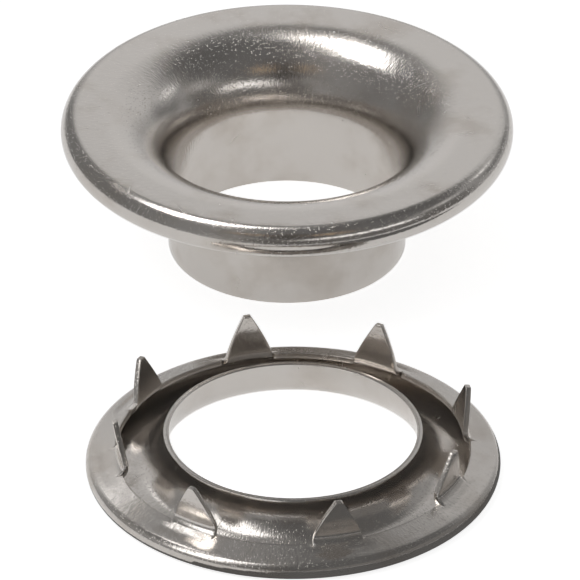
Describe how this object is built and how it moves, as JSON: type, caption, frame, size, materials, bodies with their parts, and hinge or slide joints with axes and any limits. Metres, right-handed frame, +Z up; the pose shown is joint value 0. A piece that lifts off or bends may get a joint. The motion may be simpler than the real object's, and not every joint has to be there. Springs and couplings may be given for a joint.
{
  "type": "grommet eyelet",
  "caption": "Rolled rim grommet eyelet for canvas: a flanged barrel grommet beside the spur washer that it is set through.",
  "frame": {"origin": "centre of the lay-out's bounding box, on the surface that both pieces stand on", "axes": "+Y from the spur washer to the grommet, +Z up along both pieces' axes, +X across"},
  "size_m": [0.027, 0.0512, 0.0088],
  "materials": {
    "nickel_plate": "bright nickel plate over pressed brass sheet, with fine pits and handling scratches"
  },
  "bodies": {
    "root": {"grommet": "nickel_plate", "spur_washer": "nickel_plate"}
  },
  "joints": []
}
